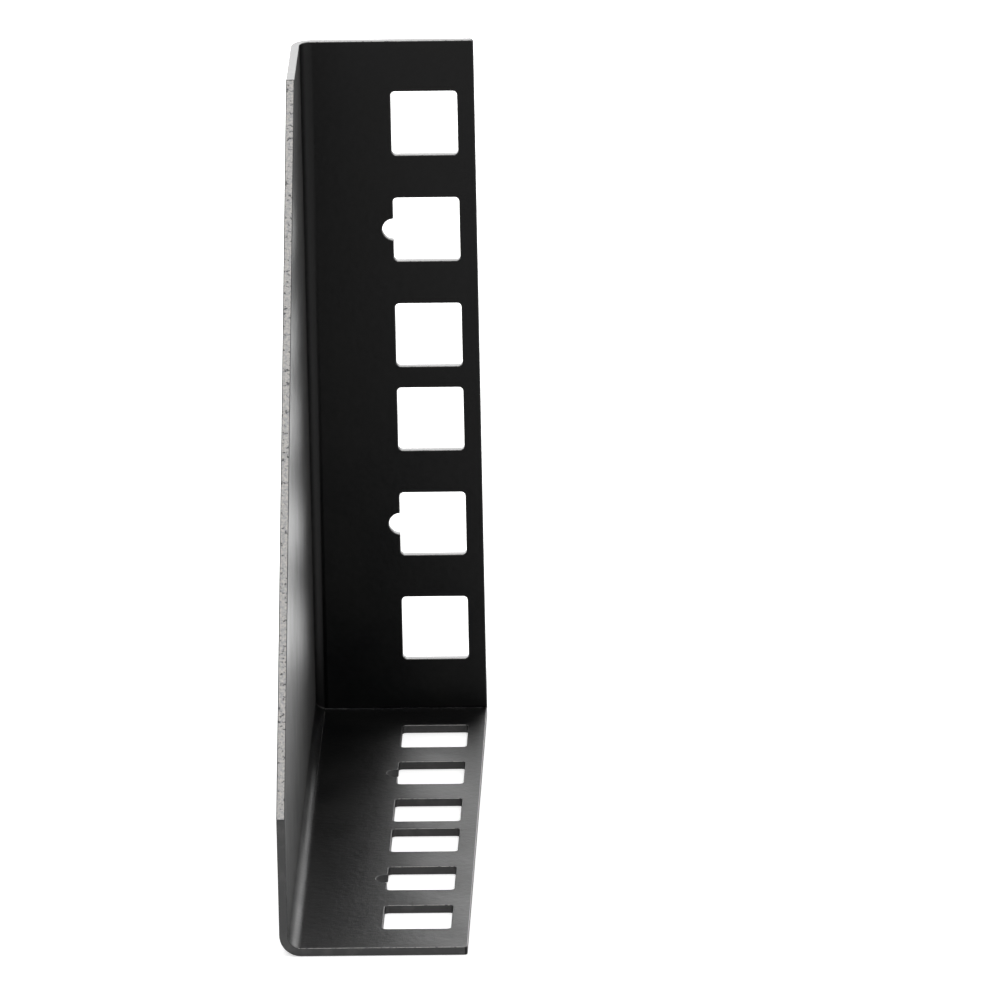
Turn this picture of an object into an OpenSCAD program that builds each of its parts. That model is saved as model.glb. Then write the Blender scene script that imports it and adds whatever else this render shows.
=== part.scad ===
// Rack mount ear bracket, folded from one sheet.
//
// Two legs of equal length stand at a right angle, and a gusset ties them along one side.
// Each leg is folded off a straight side of the gusset, so at the corner the legs are
// parted by a narrow slit. Both legs carry the same row of square rack holes.
//
// +X runs across the legs, from the gusset to their free edges. The upright leg stands at
// the back, and its outer face looks along +Y. The floor leg lies on Z = 0 and runs forward
// from the corner, along -Y. The origin is the middle of the footprint.

/* [Sheet] */
// Thickness of the sheet
sheet_t = 1.2; // [1:0.1:2]
// Radius on the inside of each bend
bend_inner_r = 1.8; // [1:0.1:3]
// Width of the slit that parts the two legs at the corner
corner_slit_w = 0.3; // [0.2:0.05:0.6]

/* [Legs] */
// Width of each leg, from the outer face of the gusset to the leg's free edge
leg_w = 26; // [24:0.5:40]
// Distance from the outer corner of the bracket to the middle of a leg's first hole
first_hole_d = 13.5; // [12:0.25:30]
// Distance from the middle of a leg's last hole to the free end of the leg
end_hole_d = 12.3; // [8:0.1:30]
// Radius on the corner between a leg's free edge and its free end
leg_corner_r = 0.5; // [0.2:0.1:2]

/* [Gusset] */
// Width of the gusset along the free end of each leg
gusset_end_w = 20; // [6:0.5:40]

/* [Rack holes] */
// Side of each square hole
hole_s = 9.5; // [8:0.1:10.5]
// Radius in the corners of each square hole
hole_corner_r = 0.6; // [0.2:0.1:1.5]
// Distance from a leg's free edge to the middle of its row of holes
hole_edge_d = 7.25; // [6.5:0.25:9]
// Rack units that each leg spans
rack_units = 2; // [1:1:3]
// Pitch of the holes inside a rack unit
hole_pitch = 15.875; // [12.5:0.125:18]
// Pitch of the holes across the joint of two rack units
unit_joint_pitch = 12.7; // [12.5:0.1:18]
// Diameter of the half-round notch that marks the middle hole of each rack unit
notch_d = 3.2; // [2:0.1:5]

/* [Hidden] */
$fn = 64;

holes_per_unit = 3;
marked_hole = 1;

bend_outer_r = bend_inner_r + sheet_t;
unit_h = (holes_per_unit - 1) * hole_pitch + unit_joint_pitch;
hole_row_l = rack_units * unit_h - unit_joint_pitch;
leg_l = first_hole_d + hole_row_l + end_hole_d;
hole_x = leg_w - hole_edge_d;

// How far a cutting shape runs past what it cuts
over = 1;

// The floor leg is the upright leg turned over the corner's diagonal
module turned_over() {
    mirror([0, 1, 1]) children();
}

module on_both_legs() {
    children();
    turned_over() children();
}

// What rounding takes off the square corner that points along -X and -Y from the origin
module corner_waste(r) {
    difference() {
        translate([-over, -over]) square(r + over);
        translate([r, r]) circle(r);
    }
}

// Room that the gusset and the two legs bound, set in from their outer faces. It runs up
// and forward as far as l, and each leg meets the gusset in a round of radius bend_r.
module bounded_room(inset, w, l, bend_r) {
    intersection_for (m = [0, 1])
        mirror([0, m, m])
            linear_extrude(l)
                difference() {
                    translate([inset, -l]) square([w - inset, l - inset]);
                    translate([inset, -inset]) mirror([0, 1]) corner_waste(bend_r);
                }
}

// The three walls at full size, one sheet thick and joined by their bends
module walls() {
    difference() {
        bounded_room(0, leg_w, leg_l, bend_outer_r);
        bounded_room(sheet_t, leg_w + over, leg_l + over, bend_inner_r);
    }
}

// Corner that the gusset's long sloping edge takes off, from one leg's end to the other's
module gusset_waste() {
    reach = leg_l + over;
    translate([-over, 0, 0])
        rotate([90, 0, 90])
            linear_extrude(bend_outer_r + over)
                polygon([[over - gusset_end_w, reach],
                         [-reach, gusset_end_w - over],
                         [-reach, reach]]);
}

// Slit above the floor leg. It runs on through the bends, which lets each leg fold freely
module corner_slit() {
    translate([-over, -bend_outer_r, sheet_t])
        cube([leg_w + 2 * over, bend_outer_r + over, corner_slit_w]);
}

module square_hole() {
    core = hole_s - 2 * hole_corner_r;
    square([hole_s, core], center = true);
    square([core, hole_s], center = true);
    for (x = [-1, 1], y = [-1, 1])
        translate([x, y] * core / 2) circle(hole_corner_r);
}

// Row of holes on the face of the upright leg, with a notch towards the gusset in the
// middle hole of each rack unit
module hole_row() {
    for (unit = [0 : rack_units - 1], i = [0 : holes_per_unit - 1])
        translate([hole_x, first_hole_d + unit * unit_h + i * hole_pitch]) {
            square_hole();
            if (i == marked_hole)
                translate([-hole_s / 2, 0]) circle(d = notch_d);
        }
}

// All that is punched from one leg, drawn on the upright leg and cut through it
module leg_punching() {
    translate([0, over, 0])
        rotate([90, 0, 0])
            linear_extrude(sheet_t + 2 * over) {
                hole_row();
                translate([leg_w, leg_l]) rotate(180) corner_waste(leg_corner_r);
            }
}

module bracket() {
    color("#1b1b1d")
        translate([-leg_w / 2, leg_l / 2, 0])
            difference() {
                walls();
                gusset_waste();
                corner_slit();
                on_both_legs() leg_punching();
            }
}

bracket();
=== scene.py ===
"""Rack mount ear bracket, dressed for show.

One sheet of steel is folded into two legs and a gusset, punched with two rows of square rack
holes, coated satin black and cut to its slope. Lengths are in metres, in the frame of the part.
"""

import logging
import math
from dataclasses import dataclass, field
from enum import Enum
from typing import Callable, Sequence

import bmesh
import bpy
from mathutils import Matrix, Vector


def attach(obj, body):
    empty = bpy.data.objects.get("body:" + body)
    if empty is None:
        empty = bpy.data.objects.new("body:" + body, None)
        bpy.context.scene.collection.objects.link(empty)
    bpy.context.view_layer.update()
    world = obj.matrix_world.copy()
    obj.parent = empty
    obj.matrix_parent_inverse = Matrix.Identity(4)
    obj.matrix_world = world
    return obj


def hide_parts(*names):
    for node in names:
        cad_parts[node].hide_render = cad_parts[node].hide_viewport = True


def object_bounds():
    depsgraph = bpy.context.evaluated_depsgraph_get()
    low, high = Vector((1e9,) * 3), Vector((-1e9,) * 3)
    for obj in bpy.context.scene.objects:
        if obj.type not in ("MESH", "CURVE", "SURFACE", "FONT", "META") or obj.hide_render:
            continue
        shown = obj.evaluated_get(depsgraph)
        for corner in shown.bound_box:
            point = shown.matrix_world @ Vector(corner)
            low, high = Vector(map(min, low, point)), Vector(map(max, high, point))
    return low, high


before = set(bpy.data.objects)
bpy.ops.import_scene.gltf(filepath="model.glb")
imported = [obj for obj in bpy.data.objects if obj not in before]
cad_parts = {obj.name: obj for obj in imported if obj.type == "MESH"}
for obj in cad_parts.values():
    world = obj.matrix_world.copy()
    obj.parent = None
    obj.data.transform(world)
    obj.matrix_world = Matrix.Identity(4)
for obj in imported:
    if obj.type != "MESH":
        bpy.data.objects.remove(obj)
CAD_LOW, CAD_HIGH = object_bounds()

MM = 0.001
CLOSE = 0.001 * MM  # two places this near each other are the same place
log = logging.getLogger("rack_bracket")

Colour = tuple[float, float, float]
Place = tuple[float, float, float]
EdgeTest = Callable[[Vector, Vector], bool]


class Leg(Enum):
    """The two legs of the bracket, each with the axis across its sheet."""

    UPRIGHT = "Y"
    FLOOR = "Z"


class Side(Enum):
    """Which way a boolean works on the piece it is applied to."""

    CUT = "DIFFERENCE"
    KEEP_COMMON = "INTERSECT"
    JOIN = "UNION"


class Finish(Enum):
    """The finishes of the bracket, each with its place among the piece's materials."""

    COAT = 0
    THIN_COAT = 1
    # The slope's finish: a pale painted highlight that stands in for the lamps' reflection on the coated
    # slope.
    PAINTED_HIGHLIGHT = 2


# ---------------------------------------------------------------------------------------------
# Finishes


@dataclass
class NodeBench:
    """A material under work, with short ways to add and join its nodes.

    Attributes:
        material: The material whose nodes are built.
        shader_kind: Blender's name of the type of shader that ends the material.
        shader: That shader, already joined to the output.
    """

    material: bpy.types.Material
    shader_kind: str = "ShaderNodeBsdfPrincipled"
    shader: bpy.types.Node = field(init=False)

    def __post_init__(self) -> None:
        """Clears the node tree down to one shader on the output."""
        self.material.use_nodes = True
        self.tree.nodes.clear()
        output = self.add("ShaderNodeOutputMaterial")
        self.shader = self.add(self.shader_kind)
        self.join(self.shader, 0, output, "Surface")

    @property
    def tree(self) -> bpy.types.NodeTree:
        """The node tree under work."""
        return self.material.node_tree

    def add(self, kind: str, **values: object) -> bpy.types.Node:
        """Adds a node and sets its inputs and properties.

        Args:
            kind: Blender's name of the node type.
            values: Properties of the node, or names of its inputs with _ for a space.

        Returns:
            The new node.
        """
        node = self.tree.nodes.new(kind)
        for name, value in values.items():
            if hasattr(node, name):
                setattr(node, name, value)
            else:
                node.inputs[name.replace("_", " ")].default_value = value
        return node

    def join(
        self, source: bpy.types.Node, output: str | int, target: bpy.types.Node, socket: str | int
    ) -> None:
        """Links an output of one node to an input of another.

        Args:
            source: The node that gives the value.
            output: Name or number of its output.
            target: The node that takes the value.
            socket: Name or number of its input.
        """
        self.tree.links.new(source.outputs[output], target.inputs[socket])

    def place(self) -> bpy.types.Node:
        """Returns a node whose Object output gives the place on the piece, in metres."""
        return self.add("ShaderNodeTexCoord")

    def noise(self, place: bpy.types.Node, size: float, detail: float) -> bpy.types.Node:
        """Adds a noise whose features are about the given size.

        Args:
            place: The node that gives the place on the piece.
            size: Size of a feature.
            detail: Number of finer layers.

        Returns:
            The noise node.
        """
        mapping = self.add("ShaderNodeMapping", Scale=(1 / size, 1 / size, 1 / size))
        texture = self.add("ShaderNodeTexNoise", Scale=1.0, Detail=detail)
        self.join(place, "Object", mapping, "Vector")
        self.join(mapping, "Vector", texture, "Vector")
        return texture

    def ramp(
        self, noise: bpy.types.Node, reach: tuple[float, float], low: Colour, high: Colour
    ) -> bpy.types.Node:
        """Adds a colour ramp over a noise.

        Args:
            noise: The noise.
            reach: Values of the noise between which the colour goes from low to high.
            low: Colour below the reach.
            high: Colour above it.

        Returns:
            The ramp node.
        """
        ramp = self.add("ShaderNodeValToRGB")
        for element, position, colour in zip(ramp.color_ramp.elements, reach, (low, high)):
            element.position = position
            element.color = (*colour, 1.0)
        self.join(noise, "Fac", ramp, "Fac")
        return ramp

    def span(
        self, noise: bpy.types.Node, low: float, high: float, reach: tuple[float, float] = (0.3, 0.7)
    ) -> bpy.types.Node:
        """Spreads a noise over low to high, clamped.

        Args:
            noise: The noise.
            low: Result at the start of the reach.
            high: Result at its end.
            reach: Values between which nearly all of the noise lies.

        Returns:
            The node whose Result output holds the new value.
        """
        node = self.add(
            "ShaderNodeMapRange", From_Min=reach[0], From_Max=reach[1], To_Min=low, To_Max=high
        )
        self.join(noise, "Fac", node, "Value")
        return node

    def bumps(self, layers: Sequence[tuple[bpy.types.Node, float]]) -> None:
        """Stacks bumps on the shader's normal.

        Args:
            layers: For each bump, its noise and its height.
        """
        before = None
        for noise, height in layers:
            bump = self.add("ShaderNodeBump", Distance=height, Strength=1.0)
            self.join(noise, "Fac", bump, "Height")
            if before is not None:
                self.join(before, "Normal", bump, "Normal")
            before = bump
        self.join(before, "Normal", self.shader, "Normal")


@dataclass(frozen=True)
class SatinCoat:
    """Black powder coat, satin, with a faint orange peel and a little dust.

    Attributes:
        name: Name of the material.
        colour: Colour of the coat.
        dust_colour: Colour of the dust that lies on it.
        dust_reach: Values of the clouds between which the dust sets in.
        smooth: Roughness of the smoothest places.
        dull: Roughness of the dullest places.
        index: Refractive index of the coat.
        sheen: Weight of the sheen that fine dust gives at a glancing angle.
        sheen_roughness: Roughness of that sheen.
        cloud_size: Size of the clouds of dust and dullness.
        peel_size: Size of a dimple of the orange peel.
        peel_height: Height of the orange peel.
        grain_size: Size of a grain of the powder.
        grain_height: Height of a grain.
    """

    name: str = "satin_black_coat"
    colour: Colour = (0.003, 0.003, 0.0034)
    dust_colour: Colour = (0.007, 0.0068, 0.0066)
    dust_reach: tuple[float, float] = (0.35, 0.8)
    smooth: float = 0.37
    dull: float = 0.45
    index: float = 1.34
    sheen: float = 0.12
    sheen_roughness: float = 0.15
    cloud_size: float = 9 * MM
    peel_size: float = 0.9 * MM
    peel_height: float = 0.03 * MM
    grain_size: float = 0.16 * MM
    grain_height: float = 0.01 * MM

    def make(self) -> bpy.types.Material:
        """Builds the material.

        Returns:
            The material.
        """
        bench = NodeBench(bpy.data.materials.new(self.name))
        place = bench.place()
        clouds = bench.noise(place, self.cloud_size, detail=4.0)
        peel = bench.noise(place, self.peel_size, detail=2.0)
        grain = bench.noise(place, self.grain_size, detail=2.0)
        colour = bench.ramp(clouds, self.dust_reach, self.colour, self.dust_colour)
        bench.join(colour, "Color", bench.shader, "Base Color")
        rough = bench.span(clouds, self.smooth, self.dull)
        bench.join(rough, "Result", bench.shader, "Roughness")
        bench.shader.inputs["IOR"].default_value = self.index
        bench.shader.inputs["Sheen Weight"].default_value = self.sheen
        bench.shader.inputs["Sheen Roughness"].default_value = self.sheen_roughness
        bench.bumps([(peel, self.peel_height), (grain, self.grain_height)])
        return bench.material


@dataclass(frozen=True)
class ThinCoat:
    """The same coat where it runs thin over a sheared edge and rubs to a shine.

    Attributes:
        name: Name of the material.
        colour: Colour of the coat.
        rubbed: Colour where it is rubbed thin.
        rub_reach: Values of the wear between which the rubbed colour sets in.
        roughness: Roughness all over.
        index: Refractive index of the coat.
        wear_size: Size of a rubbed place.
        wear_height: Height of the wear.
    """

    name: str = "thin_edge_coat"
    colour: Colour = (0.008, 0.008, 0.0085)
    rubbed: Colour = (0.035, 0.034, 0.033)
    rub_reach: tuple[float, float] = (0.5, 0.72)
    roughness: float = 0.42
    index: float = 1.8
    wear_size: float = 2.2 * MM
    wear_height: float = 0.01 * MM

    def make(self) -> bpy.types.Material:
        """Builds the material.

        Returns:
            The material.
        """
        bench = NodeBench(bpy.data.materials.new(self.name))
        wear = bench.noise(bench.place(), self.wear_size, detail=5.0)
        colour = bench.ramp(wear, self.rub_reach, self.colour, self.rubbed)
        bench.join(colour, "Color", bench.shader, "Base Color")
        bench.shader.inputs["Roughness"].default_value = self.roughness
        bench.shader.inputs["IOR"].default_value = self.index
        bench.bumps([(wear, self.wear_height)])
        return bench.material


@dataclass(frozen=True)
class SlopeHighlight:
    """Painted highlight on the coated slope: a pale grey that stands in for the lamps' reflection,
    mottled and speckled like the torn cut.

    Attributes:
        name: Name of the material.
        bright: Lightest colour of the painted highlight.
        grey: Darker colour of the painted highlight, on the torn part.
        tear_reach: Values of the tears between which grey turns to bright.
        speck: Colour of the specks.
        speck_reach: Values of the specks' noise between which a speck fades out.
        metallic: How metallic the shader is.
        smooth: Roughness of the smoothest places.
        dull: Roughness of the dullest places.
        tear_size: Size of a tear mark.
        tear_height: Height of the tear marks.
        speck_size: Size of a speck.
    """

    name: str = "slope_painted_highlight"
    bright: Colour = (0.56, 0.54, 0.51)
    grey: Colour = (0.34, 0.34, 0.35)
    tear_reach: tuple[float, float] = (0.35, 0.65)
    speck: Colour = (0.1, 0.1, 0.105)
    speck_reach: tuple[float, float] = (0.34, 0.44)
    metallic: float = 0.35
    smooth: float = 0.4
    dull: float = 0.6
    tear_size: float = 0.35 * MM
    tear_height: float = 0.04 * MM
    speck_size: float = 0.5 * MM

    def make(self) -> bpy.types.Material:
        """Builds the material.

        Returns:
            The material.
        """
        bench = NodeBench(bpy.data.materials.new(self.name))
        place = bench.place()
        tears = bench.noise(place, self.tear_size, detail=3.0)
        specks = bench.noise(place, self.speck_size, detail=4.0)
        # The pale base is a painted highlight for the lamps' reflection on the coat; the tears and
        # specks only mottle it.
        base = bench.ramp(tears, self.tear_reach, self.grey, self.bright)
        speck_free = bench.ramp(specks, self.speck_reach, (0.0, 0.0, 0.0), (1.0, 1.0, 1.0))
        # A mix node has a socket of the same name for each type of value, so that its colours
        # are found by number: 6 and 7 go in, and 2 comes out.
        mix = bench.add("ShaderNodeMix", data_type="RGBA")
        mix.inputs[6].default_value = (*self.speck, 1.0)
        bench.join(speck_free, "Color", mix, "Factor")
        bench.join(base, "Color", mix, 7)
        bench.join(mix, 2, bench.shader, "Base Color")
        bench.shader.inputs["Metallic"].default_value = self.metallic
        rough = bench.span(tears, self.smooth, self.dull)
        bench.join(rough, "Result", bench.shader, "Roughness")
        bench.bumps([(tears, self.tear_height)])
        return bench.material


@dataclass(frozen=True)
class PaleFloor:
    """Pale paint that looks white to the camera and lights the piece no more than paint does.

    Attributes:
        name: Name of the material.
        white: How much light the paint gives back.
        glow: White that only the camera sees, on top of the paint.
    """

    name: str = "studio_floor"
    white: float = 0.9
    glow: float = 0.55

    def make(self) -> bpy.types.Material:
        """Builds the material.

        Returns:
            The material.
        """
        bench = NodeBench(bpy.data.materials.new(self.name), "ShaderNodeAddShader")
        paint = bench.add("ShaderNodeBsdfDiffuse", Color=(self.white, self.white, self.white, 1.0))
        glow = bench.add("ShaderNodeEmission")
        ray = bench.add("ShaderNodeLightPath")
        seen = bench.add("ShaderNodeMath", operation="MULTIPLY")
        seen.inputs[1].default_value = self.glow
        bench.join(ray, "Is Camera Ray", seen, 0)
        bench.join(seen, "Value", glow, "Strength")
        bench.join(paint, "BSDF", bench.shader, 0)
        bench.join(glow, "Emission", bench.shader, 1)
        return bench.material


# ---------------------------------------------------------------------------------------------
# Modelling


def nothing_selected() -> None:
    """Leaves edit mode and deselects every object."""
    if bpy.context.object and bpy.context.object.mode != "OBJECT":
        bpy.ops.object.mode_set(mode="OBJECT")
    bpy.ops.object.select_all(action="DESELECT")


def only(piece: bpy.types.Object) -> None:
    """Makes a piece the only selected one, and the active one.

    Args:
        piece: The piece to select.
    """
    nothing_selected()
    piece.select_set(True)
    bpy.context.view_layer.objects.active = piece


def add_block(name: str, low: Vector, high: Vector) -> bpy.types.Object:
    """Adds a block between two corners, with its place in its mesh.

    Args:
        name: Name of the new object.
        low: Lowest corner.
        high: Highest corner.

    Returns:
        The new object.
    """
    nothing_selected()
    bpy.ops.mesh.primitive_cube_add(size=1.0, location=(low + high) / 2)
    block = bpy.context.object
    block.name = name
    block.scale = high - low
    bpy.ops.object.transform_apply(location=True, rotation=True, scale=True)
    return block


def add_rod(
    name: str, middle: Vector, radius: float, length: float, leg: Leg, sides: int
) -> bpy.types.Object:
    """Adds a round rod across a leg's sheet, with its place in its mesh.

    Args:
        name: Name of the new object.
        middle: Middle of the rod.
        radius: Its radius.
        length: Its length.
        leg: The leg that it goes through.
        sides: Number of its flat sides.

    Returns:
        The new object.
    """
    turn = (math.pi / 2, 0.0, 0.0) if leg is Leg.UPRIGHT else (0.0, 0.0, 0.0)
    nothing_selected()
    bpy.ops.mesh.primitive_cylinder_add(
        vertices=sides, radius=radius, depth=length, location=middle, rotation=turn
    )
    rod = bpy.context.object
    rod.name = name
    bpy.ops.object.transform_apply(location=True, rotation=True, scale=True)
    return rod


def edge_at(**places: float) -> EdgeTest:
    """Makes a test of where an edge lies.

    Args:
        places: For x, y or z, the place along that axis where both ends have to be.

    Returns:
        The test, which takes an edge's two ends.
    """

    def test(a: Vector, b: Vector) -> bool:
        """True for an edge with both ends at all the places."""
        return all(abs(getattr(p, axis) - at) < CLOSE for p in (a, b) for axis, at in places.items())

    return test


def round_edges(piece: bpy.types.Object, wanted: EdgeTest, radius: float, steps: int) -> None:
    """Rounds the edges whose ends pass a test.

    Args:
        piece: The piece to work on.
        wanted: Test of an edge's two ends.
        radius: Radius of the rounding.
        steps: Number of faces round it.
    """
    only(piece)
    bpy.ops.object.mode_set(mode="EDIT")
    bpy.ops.mesh.select_mode(type="EDGE")
    bpy.ops.mesh.select_all(action="DESELECT")
    mesh = bmesh.from_edit_mesh(piece.data)
    for edge in mesh.edges:
        if wanted(edge.verts[0].co, edge.verts[1].co):
            edge.select_set(True)
    bmesh.update_edit_mesh(piece.data)
    bpy.ops.mesh.bevel(offset=radius, segments=steps, profile=0.5, clamp_overlap=False)
    bpy.ops.object.mode_set(mode="OBJECT")


def combine(piece: bpy.types.Object, other: bpy.types.Object, side: Side) -> None:
    """Applies a boolean of a second piece to the first, and deletes the second.

    Args:
        piece: The piece that is kept.
        other: The piece that works on it.
        side: What the boolean does.
    """
    only(piece)
    modifier = piece.modifiers.new(name=side.name, type="BOOLEAN")
    modifier.operation = side.value
    modifier.solver = "EXACT"
    modifier.object = other
    bpy.ops.object.modifier_apply(modifier=modifier.name)
    bpy.data.objects.remove(other, do_unlink=True)


def flatten_normals(piece: bpy.types.Object) -> None:
    """Shades a piece smooth, with its large faces kept flat and its bends round.

    Args:
        piece: The piece to shade.
    """
    only(piece)
    bpy.ops.object.shade_smooth()
    modifier = piece.modifiers.new(name="flat_faces", type="WEIGHTED_NORMAL")
    modifier.mode = "FACE_AREA"
    modifier.weight = 100  # the most there is, so that only the large faces count
    bpy.ops.object.modifier_apply(modifier=modifier.name)


@dataclass
class FoldedBracket:
    """The bracket: two legs folded off one gusset, punched and sheared.

    Attributes:
        low: Lowest corner of the bracket.
        high: Highest corner of the bracket.
        sheet_t: Thickness of the sheet.
        bend_inner_r: Radius on the inside of each bend.
        bend_steps: Faces round a bend.
        slit_w: Width that the coat leaves of the slit between the legs.
        gusset_end_w: Width of the gusset at each leg's free end.
        corner_r: Radius on the free corners of the legs.
        corner_steps: Faces round such a corner.
        first_hole_d: Outer corner to the middle of the first hole.
        hole_edge_d: Free edge to the middle of the holes.
        hole_s: Side of a square hole.
        hole_corner_r: Radius in its corners.
        hole_corner_steps: Faces round such a corner.
        hole_pitch: Pitch of the holes inside a rack unit.
        joint_pitch: Pitch of the holes across the joint of two rack units.
        units: Number of rack units.
        unit_holes: Number of holes in each unit.
        notch_r: Radius of the notch in each unit's middle hole.
        notch_sides: Flat sides of the rod that cuts the notch.
        edge_r: Rounding that the coat leaves on sheared edges.
        edge_steps: Faces round such an edge.
        sharp_deg: Least angle between two faces that makes their edge a sheared one.
        weld_d: Places on the finished mesh that are closer than this become one.
        over: How far a cutting block goes past what it cuts.
    """

    low: Vector
    high: Vector
    sheet_t: float = 1.2 * MM
    bend_inner_r: float = 1.8 * MM
    bend_steps: int = 14
    slit_w: float = 0.08 * MM
    gusset_end_w: float = 20 * MM
    corner_r: float = 0.5 * MM
    corner_steps: int = 6
    first_hole_d: float = 13.5 * MM
    hole_edge_d: float = 7.25 * MM
    hole_s: float = 9.5 * MM
    hole_corner_r: float = 0.6 * MM
    hole_corner_steps: int = 5
    hole_pitch: float = 15.875 * MM
    joint_pitch: float = 12.7 * MM
    units: int = 2
    unit_holes: int = 3
    notch_r: float = 1.6 * MM
    notch_sides: int = 40
    edge_r: float = 0.12 * MM
    edge_steps: int = 3
    sharp_deg: float = 30.0
    weld_d: float = 0.005 * MM
    over: float = 1 * MM

    @property
    def bend_outer_r(self) -> float:
        """Radius on the outside of each bend."""
        return self.bend_inner_r + self.sheet_t

    @property
    def row_x(self) -> float:
        """Place of the holes' middles along X."""
        return self.high.x - self.hole_edge_d

    def hole_places(self) -> list[tuple[float, bool]]:
        """Lists the holes of one leg.

        Returns:
            Each hole's distance from the outer corner, and whether it has a notch.
        """
        unit_h = (self.unit_holes - 1) * self.hole_pitch + self.joint_pitch
        middle_hole = self.unit_holes // 2
        return [
            (self.first_hole_d + unit * unit_h + hole * self.hole_pitch, hole == middle_hole)
            for unit in range(self.units)
            for hole in range(self.unit_holes)
        ]

    def bent_block(self, name: str, low: Vector, high: Vector, radius: float) -> bpy.types.Object:
        """Makes a block whose two edges along the gusset are rounded, with a mitre at the corner.

        Args:
            name: Name of the block.
            low: Its lowest corner.
            high: Its highest corner.
            radius: Radius of the two rounded edges.

        Returns:
            The block.
        """
        block = add_block(name, low, high)
        round_edges(block, edge_at(x=low.x, y=high.y), radius, self.bend_steps)
        other = add_block("other_bend", low, high)
        round_edges(other, edge_at(x=low.x, z=low.z), radius, self.bend_steps)
        combine(block, other, Side.KEEP_COMMON)
        return block

    def punch(self, leg: Leg, distance: float, notched: bool) -> bpy.types.Object:
        """Makes the punch for one hole.

        Args:
            leg: The leg that it goes through.
            distance: Outer corner to the middle of the hole.
            notched: True if the hole has a half-round notch.

        Returns:
            The punch.
        """
        half = self.hole_s / 2
        reach = self.sheet_t / 2 + self.over
        if leg is Leg.UPRIGHT:
            middle = Vector((self.row_x, self.high.y - self.sheet_t / 2, self.low.z + distance))
            size = Vector((half, reach, half))
        else:
            middle = Vector((self.row_x, self.high.y - distance, self.low.z + self.sheet_t / 2))
            size = Vector((half, half, reach))
        along = "XYZ".index(leg.value)
        punch = add_block("punch", middle - size, middle + size)
        round_edges(
            punch,
            lambda a, b: abs(a[along] - b[along]) > reach,
            self.hole_corner_r,
            self.hole_corner_steps,
        )
        if notched:
            notch = middle - Vector((half, 0, 0))
            rod = add_rod("notch_punch", notch, self.notch_r, 2 * reach, leg, self.notch_sides)
            combine(punch, rod, Side.JOIN)
        return punch

    def shear_slope(self, piece: bpy.types.Object) -> None:
        """Cuts the gusset to its slope, from one leg's end to the other's.

        Args:
            piece: The folded sheet.
        """
        only(piece)
        bpy.ops.object.mode_set(mode="EDIT")
        bpy.ops.mesh.select_all(action="SELECT")
        bpy.ops.mesh.bisect(
            plane_co=(self.low.x, self.high.y - self.gusset_end_w, self.high.z),
            plane_no=(0.0, -1.0, 1.0),
            use_fill=True,
            clear_outer=True,
        )
        bpy.ops.object.mode_set(mode="OBJECT")

    def cut_slit(self, piece: bpy.types.Object) -> None:
        """Cuts the slit that parts the two legs at their corner.

        Args:
            piece: The folded sheet.
        """
        slit_z = self.low.z + self.sheet_t
        slit_low = Vector((self.low.x - self.over, self.high.y - self.bend_outer_r, slit_z))
        slit_high = Vector((self.high.x + self.over, self.high.y + self.over, slit_z + self.slit_w))
        combine(piece, add_block("slit", slit_low, slit_high), Side.CUT)

    def round_leg_corners(self, piece: bpy.types.Object) -> None:
        """Rounds the two corners between the legs' free edges and free ends.

        Args:
            piece: The folded sheet.
        """
        at_top = edge_at(x=self.high.x, z=self.high.z)
        at_front = edge_at(x=self.high.x, y=self.low.y)
        round_edges(piece, lambda a, b: at_top(a, b) or at_front(a, b), self.corner_r, self.corner_steps)

    def fold(self) -> bpy.types.Object:
        """Makes the folded sheet with its slope, slit and holes, all edges still sharp.

        Returns:
            The sheet.
        """
        sheet, over = self.sheet_t, self.over
        piece = self.bent_block("folded_bracket", self.low, self.high, self.bend_outer_r)
        hollow_low = self.low + Vector((sheet, -over, sheet))
        hollow_high = self.high + Vector((over, -sheet, over))
        hollow = self.bent_block("hollow", hollow_low, hollow_high, self.bend_inner_r)
        combine(piece, hollow, Side.CUT)
        self.shear_slope(piece)
        self.cut_slit(piece)
        for leg in Leg:
            for distance, notched in self.hole_places():
                combine(piece, self.punch(leg, distance, notched), Side.CUT)
        self.round_leg_corners(piece)
        return piece

    def is_by_slit(self, place: Vector) -> bool:
        """Tells whether a place is on the rim of the slit, which stays sharp.

        Args:
            place: The place.

        Returns:
            True for a place on the rim.
        """
        slack = 10 * CLOSE
        height = abs(place.z - self.low.z - self.sheet_t)
        return height < 2 * self.slit_w and place.y > self.high.y - self.bend_outer_r - slack

    def soften(self, piece: bpy.types.Object) -> None:
        """Rounds the sheared edges and gives the rounding the thin coat.

        Args:
            piece: The folded and punched sheet.
        """
        only(piece)
        bpy.ops.object.mode_set(mode="EDIT")
        bpy.ops.mesh.select_mode(type="EDGE")
        bpy.ops.mesh.select_all(action="DESELECT")
        mesh = bmesh.from_edit_mesh(piece.data)
        for edge in mesh.edges:
            if len(edge.link_faces) != 2 or edge.calc_face_angle(0.0) < math.radians(self.sharp_deg):
                continue
            if not all(self.is_by_slit(end.co) for end in edge.verts):
                edge.select_set(True)
        bmesh.update_edit_mesh(piece.data)
        bpy.ops.mesh.bevel(
            offset=self.edge_r,
            segments=self.edge_steps,
            profile=0.5,
            clamp_overlap=False,
            material=Finish.THIN_COAT.value,
        )
        bpy.ops.mesh.select_all(action="SELECT")
        bpy.ops.mesh.remove_doubles(threshold=self.weld_d)
        bpy.ops.mesh.dissolve_degenerate(threshold=self.weld_d)
        bpy.ops.object.mode_set(mode="OBJECT")

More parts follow.
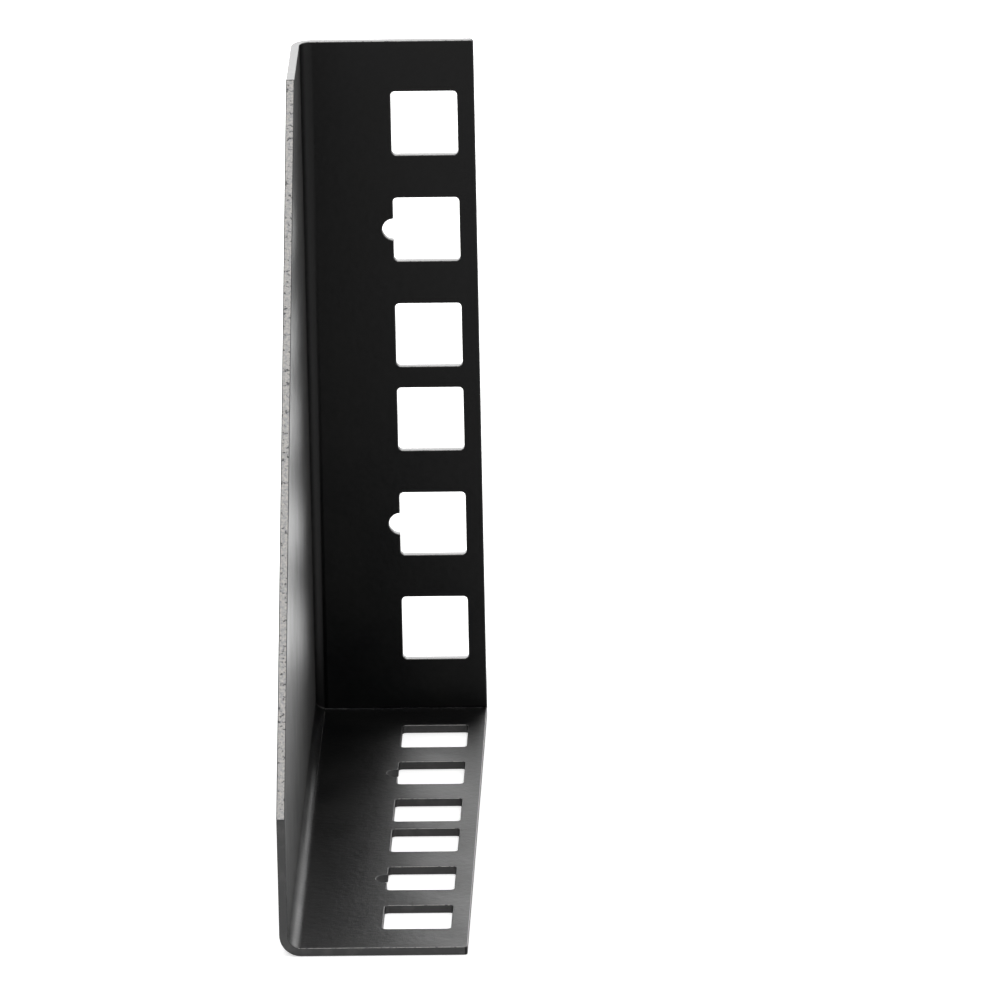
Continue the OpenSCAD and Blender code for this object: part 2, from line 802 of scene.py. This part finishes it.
    def finish_of(self, centre: Vector, normal: Vector) -> Finish | None:
        """Says which finish a sheared face has.

        Args:
            centre: The face's centre.
            normal: Its normal.

        Returns:
            The painted highlight on the slope, thin coat on the other sheared faces, or None elsewhere.
        """
        same_way = 0.99
        square_on = 0.1
        flush = 0.02 * MM
        # The slope gets the pale painted highlight.
        if normal.dot(Vector((0, -1, 1)).normalized()) > same_way:
            return Finish.PAINTED_HIGHLIGHT
        on_free_side = (
            abs(centre.z - self.high.z) < flush
            or abs(centre.y - self.low.y) < flush
            or abs(centre.x - self.high.x) < flush
        )
        in_row = abs(centre.x - self.row_x) < self.hole_s / 2 + self.notch_r + self.edge_r
        in_upright = self.high.y - self.sheet_t < centre.y < self.high.y and abs(normal.y) < square_on
        in_floor = self.low.z < centre.z < self.low.z + self.sheet_t and abs(normal.z) < square_on
        if on_free_side or in_row and (in_upright or in_floor):
            return Finish.THIN_COAT
        return None

    def dress(self, piece: bpy.types.Object) -> None:
        """Gives the sheared faces their finishes.

        Args:
            piece: The folded and punched sheet.
        """
        for face in piece.data.polygons:
            finish = self.finish_of(face.center, face.normal)
            if finish is not None:
                face.material_index = finish.value

    def build(self) -> bpy.types.Object:
        """Builds and dresses the bracket.

        Returns:
            The finished piece.
        """
        piece = self.fold()
        makers = {Finish.COAT: SatinCoat(), Finish.THIN_COAT: ThinCoat(), Finish.PAINTED_HIGHLIGHT: SlopeHighlight()}
        for finish in Finish:
            piece.data.materials.append(makers[finish].make())
        self.soften(piece)
        self.dress(piece)
        flatten_normals(piece)
        log.info("%s: %d faces", piece.name, len(piece.data.polygons))
        return piece


# ---------------------------------------------------------------------------------------------
# Studio


@dataclass(frozen=True)
class SoftLamp:
    """A rectangular lamp with a plain white face, which the camera doesn't see.

    Attributes:
        name: Name of the lamp.
        place: Where it hangs.
        target: The point that it faces.
        size: Width and height.
        white: How bright its face is, where 1 is white.
    """

    name: str
    place: Place
    target: Place
    size: tuple[float, float]
    white: float

    def hang(self) -> None:
        """Adds the lamp to the scene."""
        width, height = self.size
        data = bpy.data.lights.new(self.name, "AREA")
        data.shape = "RECTANGLE"
        data.size, data.size_y = width, height
        data.energy = math.pi * width * height * self.white
        lamp = bpy.data.objects.new(self.name, data)
        lamp.location = self.place
        lamp.rotation_mode = "QUATERNION"
        lamp.rotation_quaternion = (Vector(self.target) - Vector(self.place)).to_track_quat("-Z", "Y")
        lamp.visible_camera = False
        bpy.context.scene.collection.objects.link(lamp)


@dataclass(frozen=True)
class Studio:
    """Pale floor, soft light and the camera.

    Attributes:
        azimuth_deg: Turn of the camera from straight in front, towards +X.
        elevation_deg: Height of the camera above the horizon, as an angle.
        roll_deg: Turn of the camera about its own line of sight.
        distance: Distance from the camera to the point that it looks at.
        aim: The point that it looks at.
        lens_mm: Focal length.
        sensor_mm: Width of the sensor.
        clip: Nearest and farthest distance that the camera sees.
        floor_size: Side of the square floor.
        floor_drop: How far the floor lies below the piece, so that their faces don't coincide.
        world_white: White of the surroundings.
        lamps: The lamps: behind the upright, behind it at floor level, and overhead.
    """

    azimuth_deg: float = 1.86
    elevation_deg: float = 18.27
    roll_deg: float = -1.17
    distance: float = 1.967
    aim: Place = (0.0171, 0.0, 0.0493)
    lens_mm: float = 504.0
    sensor_mm: float = 36.0
    clip: tuple[float, float] = (0.1, 50.0)
    floor_size: float = 8.0
    floor_drop: float = 0.05 * MM
    world_white: float = 0.42
    lamps: tuple[SoftLamp, ...] = (
        SoftLamp("back_lamp", (-0.15, 0.65, 0.33), (-0.15, 0.0, 0.2), (0.9, 0.62), 3.8),
        SoftLamp("low_lamp", (0.04, 0.27, 0.0), (0.04, 0.27, 1.0), (0.2, 0.4), 3.5),
        SoftLamp("top_lamp", (0.0, -0.3, 1.7), (0.0, 0.0, 0.0), (1.4, 1.4), 2.0),
    )

    def floor(self) -> None:
        """Lays the pale floor."""
        nothing_selected()
        bpy.ops.mesh.primitive_plane_add(size=self.floor_size, location=(0, 0, -self.floor_drop))
        floor = bpy.context.object
        floor.name = "studio_floor"
        bpy.ops.object.transform_apply(location=True, rotation=True, scale=True)
        floor.data.materials.append(PaleFloor().make())

    def light(self) -> None:
        """Sets the white surroundings and hangs the lamps."""
        world = bpy.data.worlds.new("studio_world")
        bpy.context.scene.world = world
        world.use_nodes = True
        background = world.node_tree.nodes["Background"]
        background.inputs["Color"].default_value = (1.0, 1.0, 1.0, 1.0)
        background.inputs["Strength"].default_value = self.world_white
        for lamp in self.lamps:
            lamp.hang()

    def camera(self) -> None:
        """Sets up the camera."""
        azimuth, elevation = math.radians(self.azimuth_deg), math.radians(self.elevation_deg)
        back = Vector((
            math.sin(azimuth) * math.cos(elevation),
            -math.cos(azimuth) * math.cos(elevation),
            math.sin(elevation),
        ))
        data = bpy.data.cameras.new("studio_camera")
        data.lens = self.lens_mm
        data.sensor_width = self.sensor_mm
        data.clip_start, data.clip_end = self.clip
        camera = bpy.data.objects.new("studio_camera", data)
        bpy.context.scene.collection.objects.link(camera)
        turn = (-back).to_track_quat("-Z", "Y").to_matrix().to_4x4()
        roll = Matrix.Rotation(math.radians(self.roll_deg), 4, "Z")
        camera.matrix_world = Matrix.Translation(Vector(self.aim) + back * self.distance) @ turn @ roll
        bpy.context.scene.camera = camera


def main() -> None:
    """Builds the bracket, then the studio, and reports each."""
    logging.basicConfig(level=logging.INFO, format="%(message)s")
    bracket = FoldedBracket(Vector(CAD_LOW), Vector(CAD_HIGH)).build()
    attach(bracket, "root")
    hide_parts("bracket")

    studio = Studio()
    studio.floor()
    studio.light()
    studio.camera()
    bpy.context.scene.view_settings.view_transform = "Standard"
    log.info("studio: %d lamps", len(studio.lamps))


if __name__ == "__main__":
    main()
